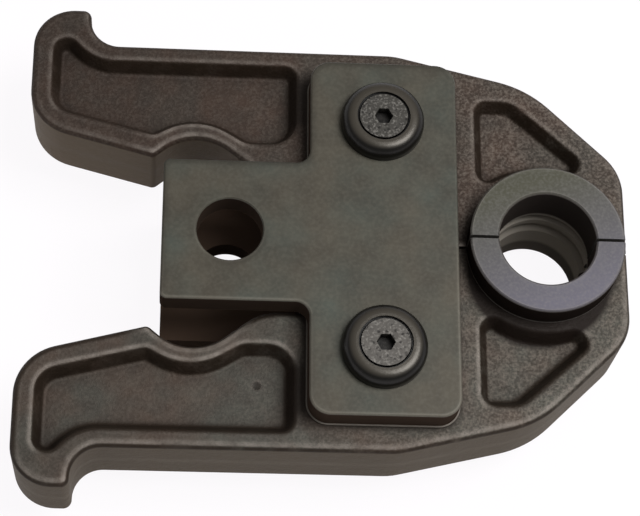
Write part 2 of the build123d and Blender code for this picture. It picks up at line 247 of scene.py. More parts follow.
def forged_grain(steel, spot, colour):
    """Colour with dark pores and bright grains, strongest near the mouth, and with the hardness mark dark."""
    sandy = add(steel, "MapRange", {
        "Value": spot.x,
        "From Min": 0,
        "From Max": 60 * MM,
        "To Min": 0.18,
        "To Max": 0.6,
    }).outputs["Result"]
    pores = add(steel, "MapRange", {
        "Value": spot.grit,
        "From Min": 0.5,
        "From Max": 0.3,
        "To Max": sandy,
    }).outputs["Result"]
    pored = add(steel, "Mix", {
        0: pores,
        MIX_A: colour,
        MIX_B: linear("#2b231d"),
    }, data_type="RGBA").outputs[MIX_RESULT]
    speckle = add(steel, "MapRange", {
        "Value": spot.grit,
        "From Min": 0.45,
        "From Max": 0.75,
        "To Max": sandy,
    }).outputs["Result"]
    grainy = add(steel, "Mix", {
        0: speckle,
        MIX_A: pored,
        MIX_B: linear("#8d8379"),
    }, data_type="RGBA").outputs[MIX_RESULT]
    to_mark = add(steel, "VectorMath", {
        0: spot.place,
        1: HARDNESS_MARK,
    }, operation="DISTANCE").outputs["Value"]
    dent = add(steel, "MapRange", {
        "Value": to_mark,
        "From Min": 1.6 * MM,
        "From Max": 0.8 * MM,
        "To Max": 0.6,
    }).outputs["Result"]
    marked = add(steel, "Mix", {
        0: dent,
        MIX_A: grainy,
        MIX_B: linear("#1f1814"),
    }, data_type="RGBA").outputs[MIX_RESULT]
    return marked


def forged_sides(steel, spot, colour):
    """Colour with the upright sides olive brown, paler on the left lever, and a lighter line where the
    forging flash was trimmed off."""
    side = add(steel, "MapRange", {
        "Value": spot.level,
        "From Min": 0.3,
        "From Max": 0.1,
        "To Max": 0.9,
    }).outputs["Result"]
    brown = add(steel, "Mix", {
        0: spot.left,
        MIX_A: linear("#564b3d"),
        MIX_B: linear("#685b4c"),
    }, data_type="RGBA").outputs[MIX_RESULT]
    olive = add(steel, "Mix", {
        0: side,
        MIX_A: colour,
        MIX_B: brown,
    }, data_type="RGBA").outputs[MIX_RESULT]
    flash = add(steel, "MapRange", {
        "Value": spot.height,
        "From Min": 1.2 * MM,
        "From Max": 0.8 * MM,
        "To Max": 0.5,
    }).outputs["Result"]
    breaks = add(steel, "TexNoise", {"Vector": spot.place, "Scale": per(7), "Detail": 3}).outputs["Fac"]
    broken = add(steel, "Math", {0: flash, 1: breaks}, operation="MULTIPLY").outputs["Value"]
    trimmed = add(steel, "Mix", {
        0: broken,
        MIX_A: olive,
        MIX_B: linear("#6b6156"),
    }, data_type="RGBA").outputs[MIX_RESULT]
    return trimmed


def forged_scale_and_shade(steel, spot, colour):
    """Colour with patchy black on the slopes, partly scale and partly painted shade, and more painted shade on
    the slopes that face -X and +Y on the right lever, away from the roller rests. The left heel is worn smooth
    and has little of it."""
    across_heel = add(steel, "Math", {
        0: spot.x,
        1: HEEL_SLOPE,
        2: spot.y,
    }, operation="MULTIPLY_ADD").outputs["Value"]
    held = add(steel, "MapRange", {"Value": spot.left, "To Max": 0.65}).outputs["Result"]
    heel = add(steel, "MapRange", {
        "Value": across_heel,
        "From Min": 28 * MM,
        "From Max": 23 * MM,
        "To Max": held,
    }).outputs["Result"]
    thick = add(steel, "MapRange", {
        "Value": spot.patches,
        "From Min": 0.3,
        "From Max": 0.55,
        "To Min": 0.55,
        "To Max": 0.9,
    }).outputs["Result"]
    left_on = add(steel, "Math", {
        0: thick,
        1: heel,
    }, operation="SUBTRACT", use_clamp=True).outputs["Value"]
    # slopes painted black: partly scale, partly painted shade
    steep = add(steel, "MapRange", {
        "Value": spot.level,
        "From Min": 0.94,
        "From Max": 0.62,
        "To Max": left_on,
    }, interpolation_type="SMOOTHSTEP").outputs["Result"]
    sheltered = add(steel, "MapRange", {
        "Value": spot.left,
        "To Min": 0.85,
        "To Max": 0.2,
    }).outputs["Result"]
    unrolled = add(steel, "MapRange", {
        "Value": spot.to_roller,
        "From Min": 9 * MM,
        "From Max": 14 * MM,
        "To Max": sheltered,
    }).outputs["Result"]
    # painted shade on the slopes that face -X and +Y
    shade_side = add(steel, "MapRange", {
        "Value": spot.lean,
        "From Min": 0.08,
        "From Max": 0.3,
        "To Max": unrolled,
    }).outputs["Result"]
    scale_and_shade = add(steel, "Math", {0: steep, 1: shade_side}, operation="MAXIMUM").outputs["Value"]
    rounded = add(steel, "MapRange", {
        "Value": spot.level,
        "From Min": 0.06,
        "From Max": 0.35,
    }).outputs["Result"]
    slope = add(steel, "Math", {0: scale_and_shade, 1: rounded}, operation="MULTIPLY").outputs["Value"]
    with_scale_and_shade = add(steel, "Mix", {
        0: slope,
        MIX_A: colour,
        MIX_B: linear("#291f16"),
    }, data_type="RGBA").outputs[MIX_RESULT]
    return with_scale_and_shade


def forged_crests(steel, spot, colour):
    """Colour with the crests of the ribs brightened in strokes, most of all on the right lever and round
    the roller rests: partly wear and partly painted highlight, which is left off where the surface turns to -X
    and +Y."""
    rub = add(steel, "AmbientOcclusion", {
        "Distance": 1.4 * MM,
    }, inside=True, only_local=True, samples=RAYS).outputs["AO"]
    edge = add(steel, "MapRange", {
        "Value": rub,
        "From Min": 0.97,
        "From Max": 0.7,
        "To Max": 0.95,
    }).outputs["Result"]
    flat = add(steel, "MapRange", {
        "Value": spot.level,
        "From Min": 0.78,
        "From Max": 0.93,
    }).outputs["Result"]
    top = add(steel, "Math", {0: edge, 1: flat}, operation="MULTIPLY").outputs["Value"]
    kept = add(steel, "MapRange", {
        "Value": spot.to_roller,
        "From Min": 14 * MM,
        "From Max": 9 * MM,
    }).outputs["Result"]
    # painted highlight: left off where the crest turns to -X and +Y, except by the roller rests
    lit_side = add(steel, "MapRange", {
        "Value": spot.lean,
        "From Min": 0.15,
        "From Max": 0.02,
        "To Min": kept,
    }).outputs["Result"]
    crest = add(steel, "Math", {0: top, 1: lit_side}, operation="MULTIPLY").outputs["Value"]
    used = add(steel, "MapRange", {
        "Value": spot.left,
        "To Min": 1.4,
        "To Max": 0.6,
    }).outputs["Result"]
    rolled = add(steel, "MapRange", {
        "Value": spot.to_roller,
        "From Min": 15 * MM,
        "From Max": 8 * MM,
        "To Min": used,
        "To Max": 1.4,
    }).outputs["Result"]
    strokes = add(steel, "MapRange", {
        "Value": spot.patches,
        "From Min": 0.35,
        "From Max": 0.65,
        "To Min": 0.6,
        "To Max": 1.7,
    }).outputs["Result"]
    streaked = add(steel, "Math", {0: crest, 1: strokes}, operation="MULTIPLY").outputs["Value"]
    crest_wear_and_highlight = add(steel, "Math", {
        0: streaked,
        1: rolled,
    }, operation="MULTIPLY", use_clamp=True).outputs["Value"]
    worn = add(steel, "Mix", {
        0: crest_wear_and_highlight,
        MIX_A: colour,
        MIX_B: linear("#aaa097"),
    }, data_type="RGBA").outputs[MIX_RESULT]
    return worn


def lever_painted_shadows(steel, spot):
    """Share of painted shadow in black: the shadow of each plate's crossbar on the rib behind it, and the
    shadow of each die collar on the lever below it, much more of it on the right lever."""
    to_bar = add(steel, "Math", {0: spot.x, 1: BAR_REAR_X}, operation="SUBTRACT").outputs["Value"]
    past_bar = add(steel, "Math", {0: to_bar}, operation="ABSOLUTE").outputs["Value"]
    outward = add(steel, "MapRange", {
        "Value": spot.out,
        "From Min": 25 * MM,
        "From Max": 29 * MM,
        "To Max": 0.8,
    }).outputs["Result"]
    inward = add(steel, "MapRange", {
        "Value": spot.out,
        "From Min": 43 * MM,
        "From Max": 38 * MM,
        "To Max": outward,
    }).outputs["Result"]
    # painted shadow of a plate's crossbar on the rib behind it
    bar_shadow = add(steel, "MapRange", {
        "Value": past_bar,
        "From Min": 7 * MM,
        "From Max": 3.5 * MM,
        "To Max": inward,
    }).outputs["Result"]
    # painted shadow of a die collar on the lever below it
    to_die = add(steel, "VectorMath", {0: spot.mirrored, 1: DIE_SHADOW_MIDDLE}, operation="DISTANCE").outputs["Value"]
    die_shadow_strength = add(steel, "MapRange", {
        "Value": spot.left,
        "To Min": 1,
        "To Max": 0.2,
    }).outputs["Result"]
    die_shadow = add(steel, "MapRange", {
        "Value": to_die,
        "From Min": 16.8 * MM,
        "From Max": 15.4 * MM,
        "To Max": die_shadow_strength,
    }).outputs["Result"]
    painted_shade_mask = add(steel, "Math", {0: bar_shadow, 1: die_shadow}, operation="MAXIMUM").outputs["Value"]
    return painted_shade_mask


def forged_painted_shade(steel, spot, colour):
    """Colour with painted shade in black: in the corners of the lever, in its seams with other pieces, and the
    painted shadows of the plates and dies.
    """
    # painted shade where the lever's own faces close round a point, less towards the mouth
    corner = add(steel, "AmbientOcclusion", {
        "Distance": 7 * MM,
    }, only_local=True, samples=RAYS).outputs["AO"]
    corner_shade_strength = add(steel, "MapRange", {
        "Value": spot.x,
        "From Min": 30 * MM,
        "From Max": 50 * MM,
        "To Min": 0.9,
        "To Max": 0.5,
    }).outputs["Result"]
    corner_shade = add(steel, "MapRange", {
        "Value": corner,
        "From Min": 0.9,
        "From Max": 0.5,
        "To Max": corner_shade_strength,
    }).outputs["Result"]
    # painted shade in the seams with the plates, dies and other pieces
    gap = add(steel, "AmbientOcclusion", {"Distance": 2 * MM}, samples=RAYS).outputs["AO"]
    seam_shade = add(steel, "MapRange", {
        "Value": gap,
        "From Min": 0.9,
        "From Max": 0.55,
        "To Max": 0.9,
    }).outputs["Result"]
    ao_shade = add(steel, "Math", {0: corner_shade, 1: seam_shade}, operation="MAXIMUM").outputs["Value"]
    painted_shade_mask = lever_painted_shadows(steel, spot)
    black = add(steel, "Math", {0: ao_shade, 1: painted_shade_mask}, operation="MAXIMUM").outputs["Value"]
    with_painted_shade = add(steel, "Mix", {
        0: black,
        MIX_A: colour,
        MIX_B: linear("#211914"),
    }, data_type="RGBA").outputs[MIX_RESULT]
    return with_painted_shade


def forged_steel():
    """Drop-forged steel, shot-blasted and left brown: a matt blotched skin with a fine grain, black on the
    slopes, partly scale and partly painted shade, ribs brightened along their crests by wear and painted
    highlight, and milled grey lands below the plates."""
    steel = new_material("forged_steel")
    spot = lever_spots(steel)
    colour = forged_skin(steel, spot)
    for layer in (forged_grain, forged_sides, forged_scale_and_shade, forged_crests, forged_painted_shade):
        colour = layer(steel, spot, colour)
    land = add(steel, "MapRange", {
        "Value": spot.height,
        "From Min": LAND_Z - 0.4 * MM,
        "From Max": LAND_Z - 0.3 * MM,
        "To Max": 0.7,
    }).outputs["Result"]
    milled = add(steel, "Mix", {
        0: land,
        MIX_A: colour,
        MIX_B: linear("#857e75"),
    }, data_type="RGBA").outputs[MIX_RESULT]
    roughness = add(steel, "MapRange", {"Value": spot.grit, "To Min": 0.5, "To Max": 0.7}).outputs["Result"]
    gleam = add(steel, "MapRange", {"Value": spot.level, "To Min": 0.08, "To Max": 0.25}).outputs["Result"]
    pits = add(steel, "TexVoronoi", {"Vector": spot.place, "Scale": per(2.6)}).outputs["Distance"]
    dents = add(steel, "Bump", {
        "Height": pits,
        "Strength": 0.22,
        "Distance": 0.3 * MM,
    }).outputs["Normal"]
    grain = add(steel, "Bump", {
        "Height": spot.grit,
        "Strength": 0.6,
        "Distance": 0.25 * MM,
        "Normal": dents,
    }).outputs["Normal"]
    shader = add(steel, "BsdfPrincipled", {
        "Base Color": milled,
        "Metallic": 0.25,
        "Specular IOR Level": gleam,
        "Roughness": roughness,
        "Normal": grain,
    }).outputs["BSDF"]
    add(steel, "OutputMaterial", {"Surface": shader})
    return steel


# Side plates

def plate_face(steel, place, clouds, fine):
    """Colour of the ground face: olive grey that drifts to green, faintly clouded and lightly grained."""
    drift = add(steel, "TexNoise", {"Vector": place, "Scale": per(14), "Detail": 2}).outputs["Fac"]
    swing = add(steel, "MapRange", {"Value": drift, "From Min": 0.36, "From Max": 0.64}).outputs["Result"]
    hue = add(steel, "Mix", {
        0: swing,
        MIX_A: linear("#5c574b"),
        MIX_B: linear("#525850"),
    }, data_type="RGBA").outputs[MIX_RESULT]
    coat = add(steel, "Mix", {
        0: clouds,
        MIX_A: linear("#3b362e"),
        MIX_B: hue,
    }, data_type="RGBA").outputs[MIX_RESULT]
    speckle = add(steel, "MapRange", {
        "Value": fine,
        "From Min": 0.4,
        "From Max": 0.7,
        "To Max": 0.2,
    }).outputs["Result"]
    grainy = add(steel, "Mix", {
        0: speckle,
        MIX_A: coat,
        MIX_B: linear("#6f6b60"),
    }, data_type="RGBA").outputs[MIX_RESULT]
    return grainy


def plate_wear_and_light(steel, across, colour):
    """Colour with the edges brightened, mostly on the right, partly by wear and partly as painted highlight,
    and a dark edge band of painted shade where they face -X and +Y.
    """
    rub = add(steel, "AmbientOcclusion", {
        "Distance": 0.9 * MM,
    }, inside=True, only_local=True, samples=RAYS).outputs["AO"]
    # painted highlight along with the wear, strongest on the edges towards -Y
    used = add(steel, "MapRange", {
        "Value": across,
        "From Min": -16 * MM,
        "From Max": 4 * MM,
        "To Min": 0.8,
        "To Max": 0.1,
    }).outputs["Result"]
    rubbed = add(steel, "MapRange", {
        "Value": rub,
        "From Min": 0.95,
        "From Max": 0.6,
        "To Max": used,
    }).outputs["Result"]
    worn = add(steel, "Mix", {
        0: rubbed,
        MIX_A: colour,
        MIX_B: linear("#8c867b"),
    }, data_type="RGBA").outputs[MIX_RESULT]
    softened = add(steel, "Bevel", {"Radius": LEE_REACH}, samples=RAYS).outputs["Normal"]
    lean = add(steel, "VectorMath", {0: softened, 1: SHADE_SIDE_WAY}, operation="DOT_PRODUCT").outputs["Value"]
    # painted shade on the edges that face -X and +Y
    shade_side = add(steel, "MapRange", {
        "Value": lean,
        "From Min": 0.02,
        "From Max": 0.3,
        "To Max": 0.55,
    }).outputs["Result"]
    shade_margin = add(steel, "Mix", {
        0: shade_side,
        MIX_A: worn,
        MIX_B: linear("#2b271f"),
    }, data_type="RGBA").outputs[MIX_RESULT]
    return shade_margin


def plate_steel():
    """Plate with its outer face ground and phosphated: smooth olive grey with faint clouds. The cut edges
    and the greasy inner face keep their dark mill scale, and the inner face is painted lighter, as painted
    light between the plates.

    The real crystals of the phosphate are finer than 0.1 mm; they are drawn at 0.8 mm, which still shows.
    """
    steel = new_material("phosphated_plate_steel")
    place = add(steel, "TexCoord", {}).outputs["Object"]
    axes = add(steel, "SeparateXYZ", {"Vector": place}).outputs
    height = add(steel, "Math", {0: axes["Z"]}, operation="ABSOLUTE").outputs["Value"]
    clouds = add(steel, "TexNoise", {"Vector": place, "Scale": per(6), "Detail": 3}).outputs["Fac"]
    fine = add(steel, "TexNoise", {"Vector": place, "Scale": per(0.8), "Detail": 2}).outputs["Fac"]
    face = plate_face(steel, place, clouds, fine)
    worn = plate_wear_and_light(steel, axes["Y"], face)
    ground = add(steel, "MapRange", {
        "Value": height,
        "From Min": PLATE_FACE_Z - 0.5 * MM,
        "From Max": PLATE_FACE_Z - 0.15 * MM,
    }, interpolation_type="SMOOTHSTEP").outputs["Result"]
    # the inner face is painted lighter than the cut edges: painted light between the plates
    inner = add(steel, "MapRange", {
        "Value": height,
        "From Min": PLATE_BACK_Z + 0.3 * MM,
        "From Max": PLATE_BACK_Z + 0.1 * MM,
    }).outputs["Result"]
    scale = add(steel, "Mix", {
        0: inner,
        MIX_A: linear("#3f342d"),
        MIX_B: linear("#524339"),
    }, data_type="RGBA").outputs[MIX_RESULT]
    faced = add(steel, "Mix", {
        0: ground,
        MIX_A: scale,
        MIX_B: worn,
    }, data_type="RGBA").outputs[MIX_RESULT]
    roughness = add(steel, "MapRange", {"Value": clouds, "To Min": 0.42, "To Max": 0.54}).outputs["Result"]
    gleam = add(steel, "MapRange", {"Value": ground, "To Max": 0.3}).outputs["Result"]
    bare = add(steel, "MapRange", {"Value": ground, "To Max": 0.2}).outputs["Result"]
    texture = add(steel, "Bump", {
        "Height": fine,
        "Strength": 0.12,
        "Distance": 0.1 * MM,
    }).outputs["Normal"]
    shader = add(steel, "BsdfPrincipled", {
        "Base Color": faced,
        "Metallic": bare,
        "Specular IOR Level": gleam,
        "Roughness": roughness,
        "Normal": texture,
    }).outputs["BSDF"]
    add(steel, "OutputMaterial", {"Surface": shader})
    return steel


# Press dies

def die_face(steel, centred, specks):
    """Colour of the turned faces: a temper tint that goes from a lighter violet to a darker olive, the
    difference in lightness being painted light, with bright specks.
    """
    across = add(steel, "VectorMath", {
        0: centred,
        1: TEMPER_WAY,
    }, operation="DOT_PRODUCT").outputs["Value"]
    temper = add(steel, "MapRange", {
        "Value": across,
        "From Min": -14 * MM,
        "From Max": 13 * MM,
    }).outputs["Result"]
    # temper tint, with the violet side painted lighter as painted light
    tint = add(steel, "Mix", {
        0: temper,
        MIX_A: linear("#615e69"),
        MIX_B: linear("#4b4a3d"),
    }, data_type="RGBA").outputs[MIX_RESULT]
    bright = add(steel, "MapRange", {
        "Value": specks,
        "From Min": 0.42,
        "From Max": 0.75,
        "To Max": 0.3,
    }).outputs["Result"]
    tone = add(steel, "Mix", {
        0: bright,
        MIX_A: tint,
        MIX_B: linear("#817e7b"),
    }, data_type="RGBA").outputs[MIX_RESULT]
    return tone


def die_sides(steel, height, centred, from_split):
    """Colour of the other sides: near black outside and dark at the ends of the bore, as painted shade,
    pale in the press groove, partly bright steel and partly painted light from below, and ground grey on the
    split faces."""
    # the bore above the groove and its low end are painted dark: painted shade
    above = add(steel, "MapRange", {
        "Value": height,
        "From Min": GROOVE_EDGE_Z,
        "From Max": GROOVE_EDGE_Z + 1 * MM,
    }).outputs["Result"]
    low_end = add(steel, "MapRange", {
        "Value": height,
        "From Min": LOW_END_Z,
        "From Max": LOW_END_Z - 1.5 * MM,
        "To Max": 0.7,
    }).outputs["Result"]
    ends = add(steel, "Math", {0: above, 1: low_end}, operation="MAXIMUM").outputs["Value"]
    # the pale groove is partly painted light from below
    pressed = add(steel, "Mix", {
        0: ends,
        MIX_A: linear("#9b948a"),
        MIX_B: linear("#3b3532"),
    }, data_type="RGBA").outputs[MIX_RESULT]
    radius = add(steel, "VectorMath", {0: centred}, operation="LENGTH").outputs["Value"]
    inside = add(steel, "MapRange", {
        "Value": radius,
        "From Min": BORE_REACH + 1.5 * MM,
        "From Max": BORE_REACH,
    }).outputs["Result"]
    # outside the bore the die is painted near black: painted shade
    dark_outside = add(steel, "Mix", {
        0: inside,
        MIX_A: linear("#241e1b"),
        MIX_B: pressed,
    }, data_type="RGBA").outputs[MIX_RESULT]
    split = add(steel, "MapRange", {
        "Value": from_split,
        "From Min": DIE_SPLIT_Y + 0.15 * MM,
        "From Max": DIE_SPLIT_Y + 0.05 * MM,
    }).outputs["Result"]
    ground = add(steel, "Mix", {
        0: split,
        MIX_A: dark_outside,
        MIX_B: linear("#54514e"),
    }, data_type="RGBA").outputs[MIX_RESULT]
    return ground


def die_wear_and_shade(steel, from_split, colour):
    """Colour with the edges rubbed bright, except along the split, and black painted shade in the corners."""
    rub = add(steel, "AmbientOcclusion", {
        "Distance": 0.9 * MM,
    }, inside=True, only_local=True, samples=RAYS).outputs["AO"]
    spared = add(steel, "MapRange", {
        "Value": from_split,
        "From Min": 0.8 * MM,
        "From Max": 1.6 * MM,
        "To Max": 0.75,
    }).outputs["Result"]
    rubbed = add(steel, "MapRange", {
        "Value": rub,
        "From Min": 0.9,
        "From Max": 0.6,
        "To Max": spared,
    }).outputs["Result"]
    edged = add(steel, "Mix", {
        0: rubbed,
        MIX_A: colour,
        MIX_B: linear("#8a857f"),
    }, data_type="RGBA").outputs[MIX_RESULT]
    # painted shade in the corners of the die
    corner = add(steel, "AmbientOcclusion", {
        "Distance": 1.6 * MM,
    }, only_local=True, samples=RAYS).outputs["AO"]
    ao_shade = add(steel, "MapRange", {
        "Value": corner,
        "From Min": 0.95,
        "From Max": 0.7,
        "To Max": 0.85,
    }).outputs["Result"]
    corner_shaded = add(steel, "Mix", {
        0: ao_shade,
        MIX_A: edged,
        MIX_B: linear("#1d1814"),
    }, data_type="RGBA").outputs[MIX_RESULT]
    return corner_shaded


def die_steel():
    """Hardened tool steel with its faces turned: satin grey with a temper tint and faint rings round the
    bore, painted shade in black on the other sides, and a bright press groove, partly painted light.

    The real turning marks are about 0.1 mm apart and the real specks 0.2 mm wide. Both are drawn coarser, the
    marks RING_PITCH apart and the specks at 0.6 mm, because they are too fine to show.
    """
    steel = new_material("turned_die_steel")
    place = add(steel, "TexCoord", {}).outputs["Object"]
    axes = add(steel, "SeparateXYZ", {"Vector": place}).outputs
    height = add(steel, "Math", {0: axes["Z"]}, operation="ABSOLUTE").outputs["Value"]
    from_split = add(steel, "Math", {0: axes["Y"]}, operation="ABSOLUTE").outputs["Value"]
    centred = add(steel, "Mapping", {
        "Vector": place,
        "Location": [-p for p in DIE_CENTRE],
        "Scale": (1, 1, 0),
    }).outputs["Vector"]
    rings = add(steel, "TexWave", {
        "Vector": centred,
        "Scale": 2 * pi / RING_PITCH / 20,     # a wave has 20 radians to the unit
        "Distortion": 1.5,
        "Detail": 2,
        "Detail Scale": 6,
    }, wave_type="RINGS", rings_direction="Z").outputs["Fac"]
    specks = add(steel, "TexNoise", {
        "Vector": place,
        "Scale": per(0.6),
        "Detail": 3,
        "Roughness": 0.6,
    }).outputs["Fac"]
    turned = add(steel, "MapRange", {
        "Value": height,
        "From Min": DIE_FACE_Z - 0.4 * MM,
        "From Max": DIE_FACE_Z - 0.1 * MM,
    }).outputs["Result"]
    faced = add(steel, "Mix", {
        0: turned,
        MIX_A: die_sides(steel, axes["Z"], centred, from_split),
        MIX_B: die_face(steel, centred, specks),
    }, data_type="RGBA").outputs[MIX_RESULT]
    worn = die_wear_and_shade(steel, from_split, faced)
    gleam = add(steel, "MapRange", {"Value": turned, "To Max": 0.3}).outputs["Result"]
    bare = add(steel, "MapRange", {"Value": turned, "To Max": 0.25}).outputs["Result"]
    ridges = add(steel, "Bump", {
        "Height": rings,
        "Strength": 0.1,
        "Distance": 0.05 * MM,
    }).outputs["Normal"]
    grain = add(steel, "Bump", {
        "Height": specks,
        "Strength": 0.14,
        "Distance": 0.1 * MM,
        "Normal": ridges,
    }).outputs["Normal"]
    shader = add(steel, "BsdfPrincipled", {
        "Base Color": worn,
        "Metallic": bare,
        "Specular IOR Level": gleam,
        "Roughness": 0.42,
        "Normal": grain,
    }).outputs["BSDF"]
    add(steel, "OutputMaterial", {"Surface": shader})
    return steel


# Screws, washers, pins and wire

def screw_skin(steel, place, pits):
    """Colour of the blasted skin: clouded grey with dark pits and bright specks, darker on the left screws."""
    clouds = add(steel, "TexNoise", {"Vector": place, "Scale": per(1.6), "Detail": 3}).outputs["Fac"]
    tone = add(steel, "Mix", {
        0: clouds,
        MIX_A: linear("#474440"),
        MIX_B: linear("#68645f"),
    }, data_type="RGBA").outputs[MIX_RESULT]
    left_darkening = add(steel, "MapRange", {
        "Value": add(steel, "SeparateXYZ", {"Vector": place}).outputs["Y"],
        "From Min": -5 * MM,
        "From Max": 5 * MM,
        "To Max": 0.64,
    }).outputs["Result"]
    darker_on_left = add(steel, "Mix", {
        0: left_darkening,
        MIX_A: tone,
        MIX_B: linear("#2f2e29"),
    }, data_type="RGBA").outputs[MIX_RESULT]
    dots = add(steel, "MapRange", {
        "Value": pits,
        "From Min": 0.38,
        "From Max": 0.2,
        "To Max": 0.8,
    }).outputs["Result"]
    peppered = add(steel, "Mix", {
        0: dots,
        MIX_A: darker_on_left,
        MIX_B: linear("#1d1a18"),
    }, data_type="RGBA").outputs[MIX_RESULT]
    blast = add(steel, "TexNoise", {"Vector": place, "Scale": per(0.5), "Detail": 2}).outputs["Fac"]
    specks = add(steel, "MapRange", {
        "Value": blast,
        "From Min": 0.5,
        "From Max": 0.72,
        "To Max": 0.6,
    }).outputs["Result"]
    sparkling = add(steel, "Mix", {
        0: specks,
        MIX_A: peppered,
        MIX_B: linear("#94908a"),
    }, data_type="RGBA").outputs[MIX_RESULT]
    return sparkling


def screw_steel():
    """Alloy steel screw, shot-blasted: grey, peppered with dark pits and bright specks, and painted black in
    its socket and recesses, as painted shade.

    The real pits and specks are about 0.2 mm; the pits are drawn 1.1 mm apart and the specks at 0.5 mm, which
    still show.
    """
    steel = new_material("blasted_screw_steel")
    place = add(steel, "TexCoord", {}).outputs["Object"]
    pits = add(steel, "TexVoronoi", {"Vector": place, "Scale": per(1.1)}).outputs["Distance"]
    # painted shade in the socket and in the recesses round the head
    corner = add(steel, "AmbientOcclusion", {"Distance": 2.5 * MM}, samples=RAYS).outputs["AO"]
    painted_shade_mask = add(steel, "MapRange", {
        "Value": corner,
        "From Min": 0.92,
        "From Max": 0.65,
        "To Max": 0.92,
    }).outputs["Result"]
    recess_shaded = add(steel, "Mix", {
        0: painted_shade_mask,
        MIX_A: screw_skin(steel, place, pits),
        MIX_B: linear("#0f0d0b"),
    }, data_type="RGBA").outputs[MIX_RESULT]
    grain = add(steel, "Bump", {
        "Height": pits,
        "Strength": 0.3,
        "Distance": 0.12 * MM,
    }).outputs["Normal"]
    shader = add(steel, "BsdfPrincipled", {
        "Base Color": recess_shaded,
        "Metallic": 0.25,
        "Specular IOR Level": 0.3,
        "Roughness": 0.5,
        "Normal": grain,
    }).outputs["BSDF"]
    add(steel, "OutputMaterial", {"Surface": shader})
    return steel


def washer_steel():
    """Turned steel with a black oxide coat: near black on its dome and grey on the crown, partly rubbed and
    partly a painted highlight on the top.

    The real turning grain is about 0.1 mm; it is drawn at 0.7 mm, which still shows.
    """
    steel = new_material("black_oxide_washer_steel")
    place = add(steel, "TexCoord", {}).outputs["Object"]
    rise = add(steel, "SeparateXYZ", {"Vector": place}).outputs["Z"]
    height = add(steel, "Math", {0: rise}, operation="ABSOLUTE").outputs["Value"]
    crown = cad_box[1].z
    # the crown is painted grey: partly rubbed, partly painted highlight on the top
    rubbed = add(steel, "MapRange", {
        "Value": height,
        "From Min": crown - 0.6 * MM,
        "From Max": crown,
    }, interpolation_type="SMOOTHSTEP").outputs["Result"]
    coat = add(steel, "Mix", {
        0: rubbed,
        MIX_A: linear("#0f0c08"),
        MIX_B: linear("#47423a"),
    }, data_type="RGBA").outputs[MIX_RESULT]
    # painted shade in the gap round the screw head and where the washer meets other pieces
    corner = add(steel, "AmbientOcclusion", {"Distance": 1.5 * MM}, samples=RAYS).outputs["AO"]
    painted_shade_mask = add(steel, "MapRange", {
        "Value": corner,
        "From Min": 0.85,
        "From Max": 0.5,
        "To Max": 0.9,
    }).outputs["Result"]
    recess_shaded = add(steel, "Mix", {
        0: painted_shade_mask,
        MIX_A: coat,
        MIX_B: linear("#0b0908"),
    }, data_type="RGBA").outputs[MIX_RESULT]
    fine = add(steel, "TexNoise", {"Vector": place, "Scale": per(0.7), "Detail": 2}).outputs["Fac"]
    texture = add(steel, "Bump", {
        "Height": fine,
        "Strength": 0.2,
        "Distance": 0.1 * MM,
    }).outputs["Normal"]
    shader = add(steel, "BsdfPrincipled", {
        "Base Color": recess_shaded,
        "Metallic": 0.3,
        "Specular IOR Level": 0.44,
        "Roughness": 0.32,
        "Normal": texture,
    }).outputs["BSDF"]
    add(steel, "OutputMaterial", {"Surface": shader})
    return steel


def pin_steel():
    """Ground bearing steel with a greasy film: clean grey, softly streaked along Z.

    The real grinding streaks are about 0.05 mm wide; they are drawn at 0.4 mm, which still shows.
    """
    steel = new_material("ground_pin_steel")
    place = add(steel, "TexCoord", {}).outputs["Object"]
    stretched = add(steel, "Mapping", {"Vector": place, "Scale": (1, 1, 0.1)}).outputs["Vector"]
    streaks = add(steel, "TexNoise", {"Vector": stretched, "Scale": per(0.4), "Detail": 2}).outputs["Fac"]
    tone = add(steel, "Mix", {
        0: streaks,
        MIX_A: linear("#6f6d6b"),
        MIX_B: linear("#8f8d8a"),
    }, data_type="RGBA").outputs[MIX_RESULT]
    shader = add(steel, "BsdfPrincipled", {
        "Base Color": tone,
        "Metallic": 1.0,
        "Roughness": 0.3,
    }).outputs["BSDF"]
    add(steel, "OutputMaterial", {"Surface": shader})
    return steel


def spring_steel():
    """Oil-tempered spring wire: dark blue-grey with a wet sheen."""
    steel = new_material("oil_tempered_spring_wire")
    place = add(steel, "TexCoord", {}).outputs["Object"]
    film = add(steel, "TexNoise", {"Vector": place, "Scale": per(1.5), "Detail": 3}).outputs["Fac"]
    tone = add(steel, "Mix", {
        0: film,
        MIX_A: linear("#3f4046"),
        MIX_B: linear("#6a6a6e"),
    }, data_type="RGBA").outputs[MIX_RESULT]
    shader = add(steel, "BsdfPrincipled", {
        "Base Color": tone,
        "Metallic": 1.0,
        "Roughness": 0.28,
    }).outputs["BSDF"]
    add(steel, "OutputMaterial", {"Surface": shader})
    return steel


FINISHES = {
    "forged_steel": forged_steel(),
    "plate_steel": plate_steel(),
    "die_steel": die_steel(),
    "screw_steel": screw_steel(),
    "washer_steel": washer_steel(),
    "pin_steel": pin_steel(),
    "spring_steel": spring_steel(),
}


def paint_nodes():
    """Give every CAD node the finish of its material slot."""
    for part in frame["record"]["subparts"]:
        mesh = nodes[part["node"]].data
        mesh.materials.clear()
        mesh.materials.append(FINISHES[part["material_slot"]])


def ring_faces(rings, sides):
    """Faces that join each closed ring of points to the next one."""
    faces = []
    for i in range(rings - 1):
        here = i * sides
        there = here + sides
        for k in range(sides):
            after = (k + 1) % sides
            faces.append((here + k, here + after, there + after, there + k))
    return faces


